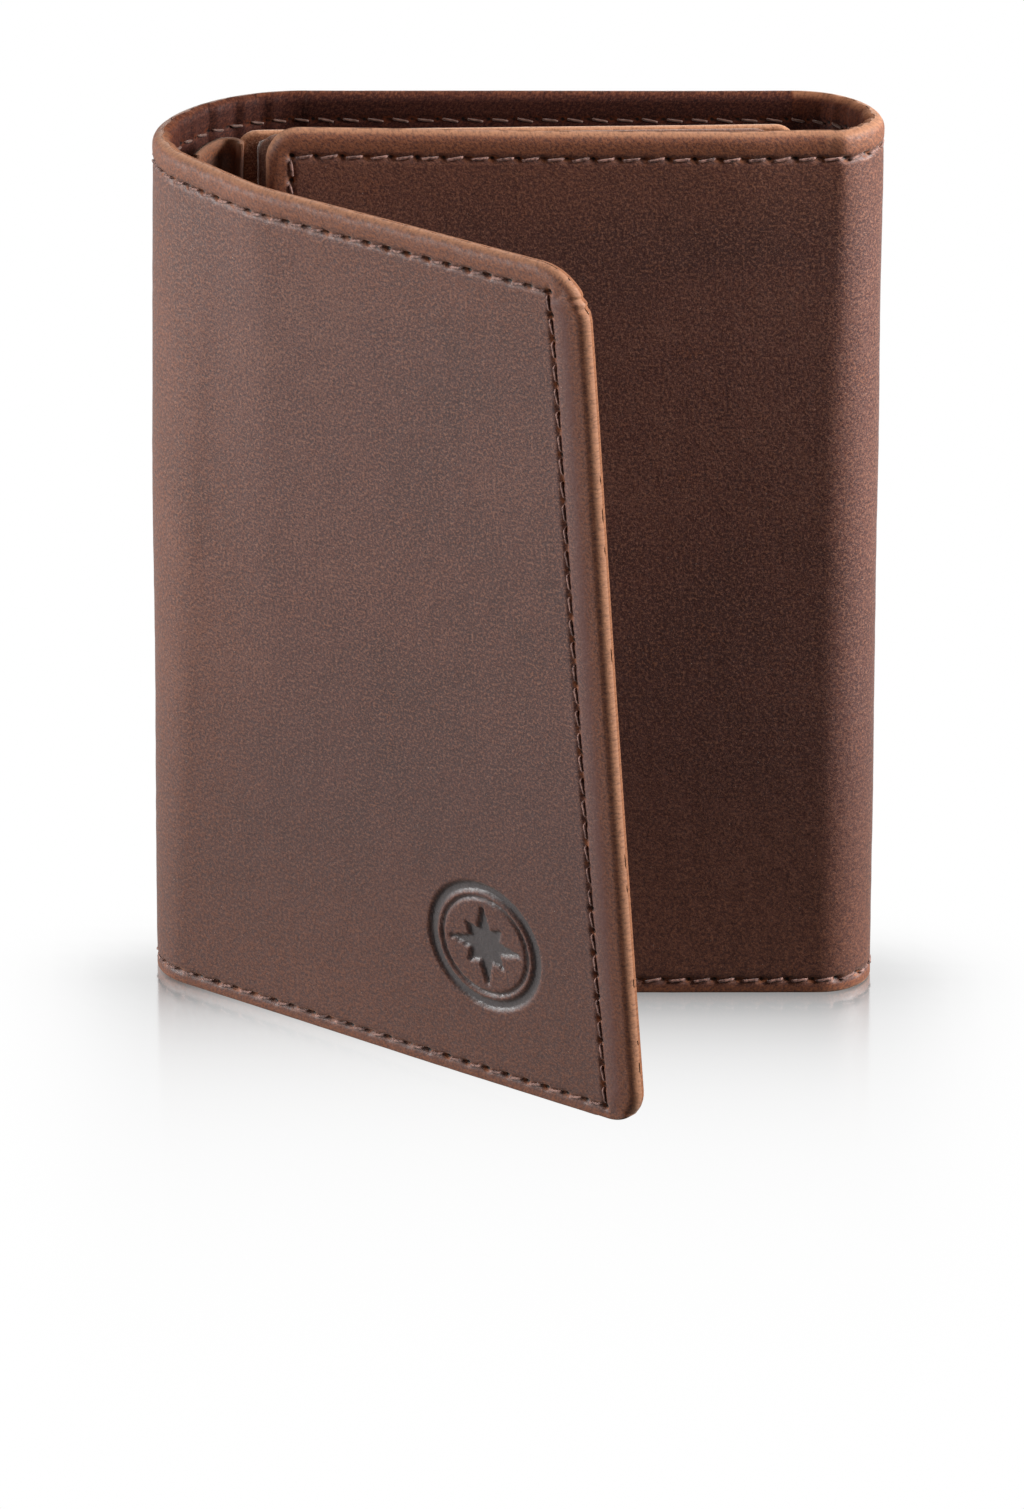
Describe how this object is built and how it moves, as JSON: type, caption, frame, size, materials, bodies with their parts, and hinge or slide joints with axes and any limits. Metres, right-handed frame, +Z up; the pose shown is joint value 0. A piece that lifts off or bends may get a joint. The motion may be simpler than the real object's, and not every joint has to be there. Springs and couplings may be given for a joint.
{
  "type": "trifold wallet",
  "caption": "Leather trifold wallet: stitched shell with two soft folds, full-length note compartment, stepped card pockets and a swinging window flap.",
  "frame": {"origin": "middle of the back panel's bottom edge, at the middle of the shell's thickness", "axes": "+Z up along the back panel, +Y out of the back, +X towards the right fold"},
  "size_m": [0.0863, 0.0653, 0.1082],
  "materials": {
    "shell_leather": "waxed pull-up leather, matt",
    "inner_leather": "waxed leather, matt",
    "window_leather": "suede, rough cut edges",
    "lining": "smooth woven lining",
    "thread": "twisted polyester thread",
    "clear_film": "clear flexible film"
  },
  "bodies": {
    "back": {"back_lining": "lining", "back_shell": "shell_leather", "back_stitching": "thread", "centre_divider": "inner_leather", "centre_pocket_1": "inner_leather", "centre_pocket_2": "inner_leather", "centre_pocket_3": "inner_leather", "window_hinge_tab": "window_leather"},
    "left_spine": {"left_spine_divider": "inner_leather", "left_spine_lining": "lining", "left_spine_shell": "shell_leather", "left_spine_stitching": "thread"},
    "left_root": {"left_root_divider": "inner_leather", "left_root_lining": "lining", "left_root_shell": "shell_leather", "left_root_stitching": "thread"},
    "left_flap": {"left_flap_divider": "inner_leather", "left_flap_lining": "lining", "left_flap_shell": "shell_leather", "left_flap_stitching": "thread", "left_pocket_1": "inner_leather", "left_pocket_2": "inner_leather", "left_pocket_3": "inner_leather"},
    "right_spine": {"right_spine_divider": "inner_leather", "right_spine_lining": "lining", "right_spine_shell": "shell_leather", "right_spine_stitching": "thread"},
    "right_flap": {"right_flap_divider": "inner_leather", "right_flap_lining": "lining", "right_flap_shell": "shell_leather", "right_flap_stitching": "thread", "right_pocket_1": "inner_leather", "right_pocket_2": "inner_leather"},
    "window_flap": {"window_back_leaf": "window_leather", "window_film": "clear_film", "window_front_frame": "window_leather"}
  },
  "joints": [
    {"name": "left_spine_fold", "type": "hinge", "parent": "back", "child": "left_spine", "pos_m": [-0.03843, -0.00357, 0.054], "axis": [-0.034, 0.0266, -0.9991], "range_deg": [0, 90]},
    {"name": "left_root_fold", "type": "hinge", "parent": "left_spine", "child": "left_root", "pos_m": [-0.04078, -0.01763, 0.054], "axis": [-0.0162, 0.1309, -0.9913], "range_deg": [0, 52]},
    {"name": "left_flap_close", "type": "hinge", "parent": "left_root", "child": "left_flap", "pos_m": [-0.03155, -0.02641, 0.054], "axis": [-0.0632, -0.081, 0.9947], "range_deg": [0, 37]},
    {"name": "right_spine_fold", "type": "hinge", "parent": "back", "child": "right_spine", "pos_m": [0.0391, -0.0029, 0.054], "axis": [0, 0, 1], "range_deg": [0, 90]},
    {"name": "right_flap_fold", "type": "hinge", "parent": "right_spine", "child": "right_flap", "pos_m": [0.04027, -0.01407, 0.054], "axis": [0, 0, 1], "range_deg": [0, 90]},
    {"name": "window_swing", "type": "hinge", "parent": "back", "child": "window_flap", "pos_m": [0.0322, -0.0072, 0.054], "axis": [0, 0, 1], "range_deg": [0, 150]}
  ],
  "couplings": [
    {"joint": "left_root_fold", "follows": "left_spine_fold", "ratio": 0.57778},
    {"joint": "right_spine_fold", "follows": "left_spine_fold", "ratio": 0.3},
    {"joint": "right_flap_fold", "follows": "left_spine_fold", "ratio": 0.3},
    {"joint": "window_swing", "follows": "left_spine_fold", "ratio": 0.5}
  ]
}
